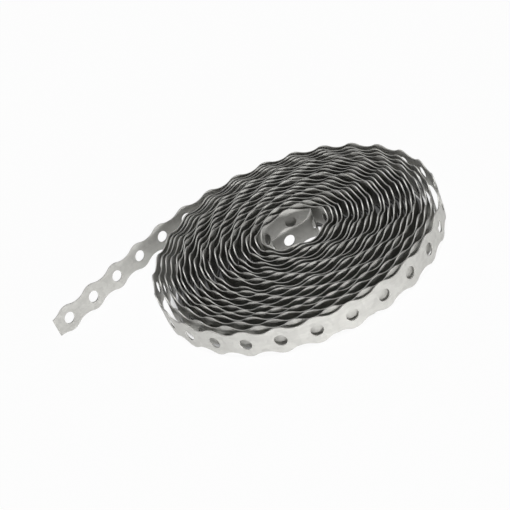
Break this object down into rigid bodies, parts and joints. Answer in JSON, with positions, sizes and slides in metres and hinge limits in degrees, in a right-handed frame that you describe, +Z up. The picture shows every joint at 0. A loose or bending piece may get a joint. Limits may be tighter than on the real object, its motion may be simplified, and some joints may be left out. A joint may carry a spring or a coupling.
{
  "type": "perforated steel strap",
  "caption": "Galvanised steel strap with wavy edges and a row of punched holes, wound into a loose flat roll with its outer end run out straight; cut to length as a hanger or tie.",
  "frame": {"origin": "middle of the whole outline seen from above, on the floor that the roll lies on", "axes": "+Z up along the roll's axis, across the strap's width; the loose end runs out straight along -X on the +Y side of the roll"},
  "size_m": [0.2006, 0.185, 0.017],
  "materials": {
    "strap": "zinc-coated, satin, faintly mottled"
  },
  "bodies": {
    "root": {"strap": "strap"}
  },
  "joints": []
}
